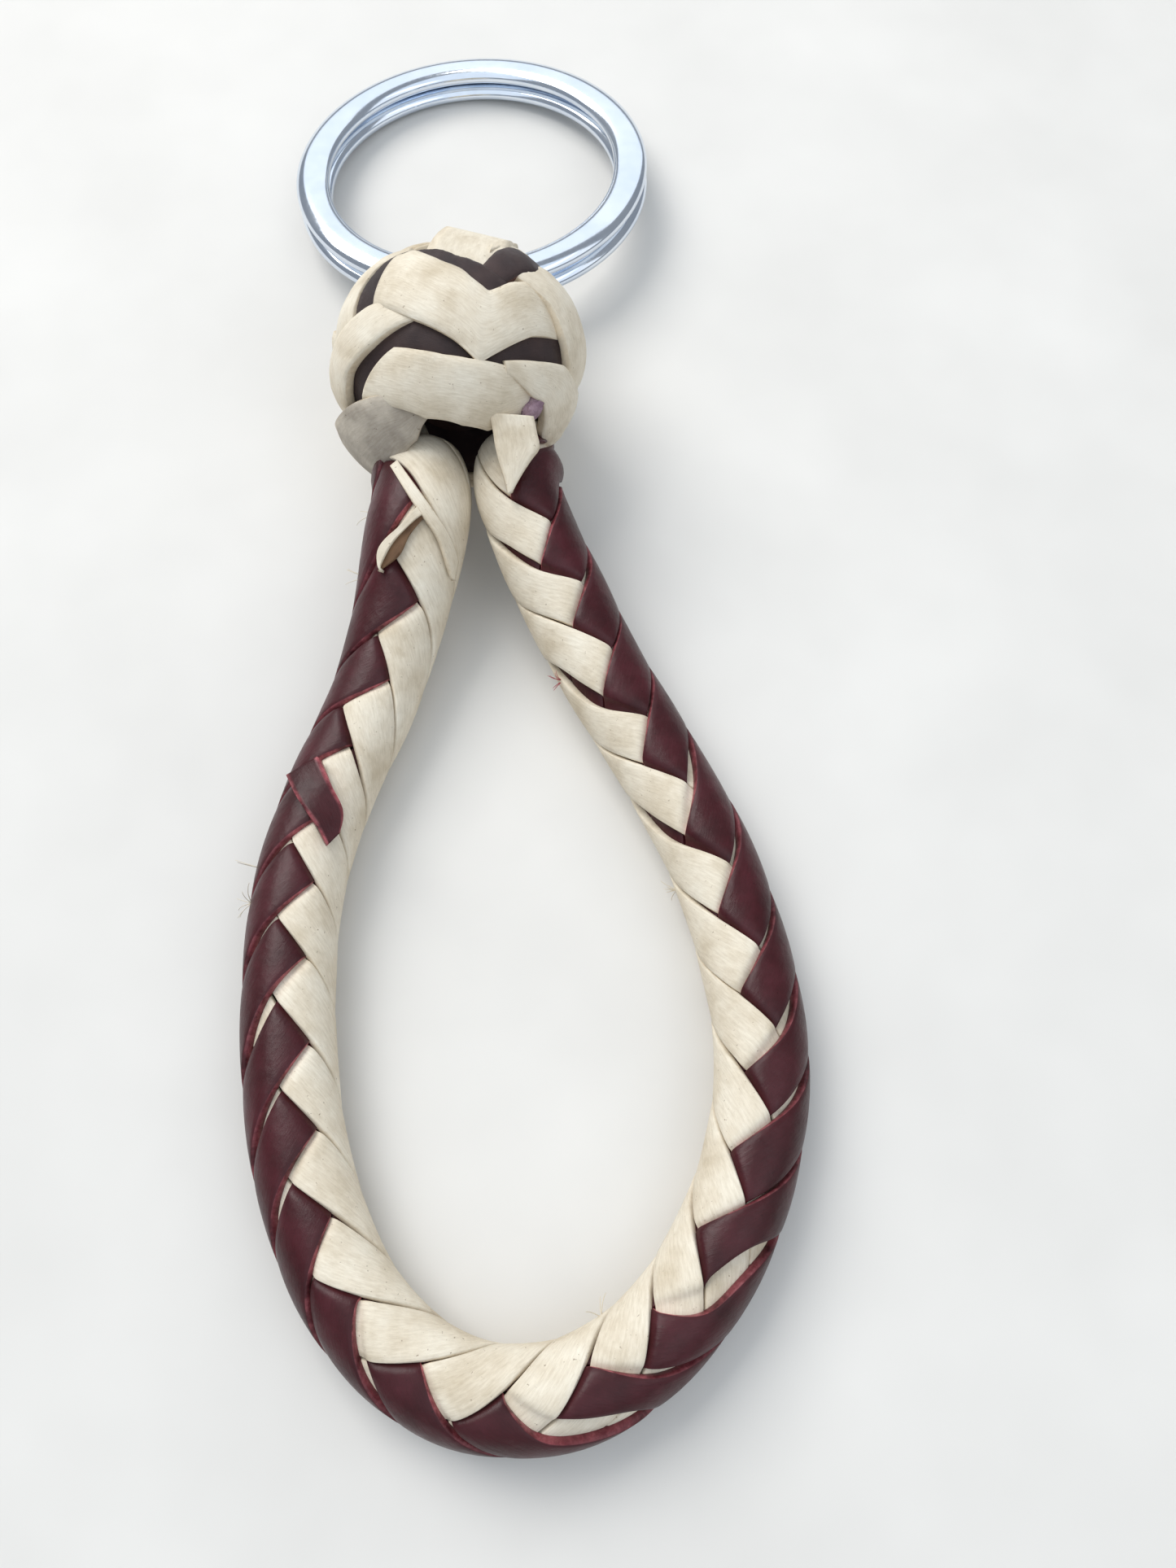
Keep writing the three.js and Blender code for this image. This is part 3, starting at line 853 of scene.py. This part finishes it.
MAUVE = leather(
    "frayed_lace_end", [(108, 84, 98), (138, 112, 126), (166, 142, 150)],
    [(122, 96, 112), (176, 152, 162)], (90, 66, 80), 225)
stub = wear(cut_stub(), MAUVE)
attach(stub, "knot")

# ---- Loose fibres --------------------------------------------------------------------------

FIBRE_RADIUS = 0.045
FIBRE_TIP = 0.45         # the radius at the tip, as a share of that
FIBRE_SIDES = 6
FIBRE_ROOT = 3.7         # how far from the braid's middle a fibre starts


def fibre(name, points, surface):
    """A thin frayed thread along local points, tapering to its end."""
    line = smooth_route(points, 8)
    along = unit(np.gradient(line, axis=0))
    side = unit(np.cross(along, [0.3, 0.2, 1.0]))
    lift = np.cross(side, along)
    angle = np.linspace(0, 2 * math.pi, FIBRE_SIDES, endpoint=False)
    taper = FIBRE_RADIUS * np.linspace(1, FIBRE_TIP, len(line))[:, None, None]
    rings = line[:, None] + taper * (np.cos(angle)[None, :, None] * side[:, None]
                                     + np.sin(angle)[None, :, None] * lift[:, None])
    flags = {"edge": np.zeros(rings.shape[:2])}
    piece = make_mesh(name, rings.reshape(-1, 3), grid_faces(len(line), FIBRE_SIDES), flags)
    wear(piece, surface)
    return piece


def tuft(name, at, turn, count, reach, surface, seed):
    """A few short fibres that stand out of the braid at one place."""
    rng = np.random.default_rng(seed)
    pieces = []
    for number in range(count):
        points = []
        lean_at, lean_turn = rng.normal(0, 1.0), rng.normal(0, 14)
        length = reach * rng.uniform(0.6, 1.0)
        for share in (0.0, 0.4, 0.75, 1.0):
            where = np.array([NECK_AT + at + lean_at * share])
            angle = np.array([(turn + lean_turn * share) * DEG])
            out = FIBRE_ROOT + length * share - 0.25 * length * share ** 2
            points.append(tuple(around(where, angle, np.array([out]))[0]))
        pieces.append(fibre(f"{name}_{number + 1}", points, surface))
    return pieces


# (distance from the neck, degrees from up towards the outside, fibres, length, colour)
TUFTS = [
    (12.9, -85, 6, 1.7, "pink"), (35.2, -96, 6, 1.5, "cream"), (77.4, -84, 3, 2.4, "cream"),
    (133.6, 68, 6, 1.8, "cream"), (136.6, 74, 2, 3.2, "cream"), (165.0, 64, 3, 2.6, "cream"),
    (171.0, 74, 2, 3.4, "cream"),
]
PINK_FIBRE = leather(
    "red_fibre", [(150, 66, 74), (184, 98, 104), (208, 130, 134)],
    [(150, 66, 74), (208, 130, 134)], (110, 50, 56), 225)
FIBRE_LOOKS = {"cream": (CREAM, "cream_lace"), "pink": (PINK_FIBRE, "burgundy_lace")}
for seed, (at, turn, count, reach, look) in enumerate(TUFTS):
    surface, slot = FIBRE_LOOKS[look]
    for piece in tuft(f"tuft_{seed + 1}", at, turn, count, reach, surface, 70 + seed):
        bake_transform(piece)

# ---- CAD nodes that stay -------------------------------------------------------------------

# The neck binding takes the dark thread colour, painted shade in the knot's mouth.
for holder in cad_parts["neck_binding"].material_slots:
    holder.material = THREAD

# ---- Floor and lights ----------------------------------------------------------------------

bpy.ops.mesh.primitive_plane_add(size=3, location=(0, 0, 0))
floor = bpy.context.object
floor.name = "floor"
floor_look = Nodes("floor_look")
floor_look.link(
    floor_look.ramp(floor_look.noise(40, 3), [(0.3, (214, 212, 208)), (0.7, (222, 220, 216))]),
    floor_look.shader.inputs["Base Color"])
floor_look.shader.inputs["Roughness"].default_value = 0.8
floor.data.materials.append(floor_look.material)

world = bpy.data.worlds.new("studio")
world.use_nodes = True
world.node_tree.nodes["Background"].inputs["Color"].default_value = (0.86, 0.92, 1.0, 1)
world.node_tree.nodes["Background"].inputs["Strength"].default_value = 0.34
bpy.context.scene.world = world


def area_light(name, where, size, energy, color):
    data = bpy.data.lights.new(name, "AREA")
    data.shape = "RECTANGLE"
    data.size, data.size_y = size
    data.energy = energy
    data.color = color
    lamp = bpy.data.objects.new(name, data)
    lamp.location = where
    lamp.rotation_euler = (-Vector(where)).to_track_quat("-Z", "Y").to_euler()
    bpy.context.scene.collection.objects.link(lamp)


area_light("key", (-0.35, 0.34, 0.60), (0.52, 0.52), 4.7, (1.0, 0.98, 0.95))
area_light("fill", (0.50, -0.20, 0.50), (0.60, 0.60), 0.9, (0.94, 0.97, 1.0))
area_light("far_sky", (0.0, 0.90, 0.56), (1.20, 0.80), 2.7, (0.90, 0.95, 1.0))
area_light("overhead", (0.0, -0.42, 0.92), (1.60, 1.60), 5.6, (0.84, 0.92, 1.0))
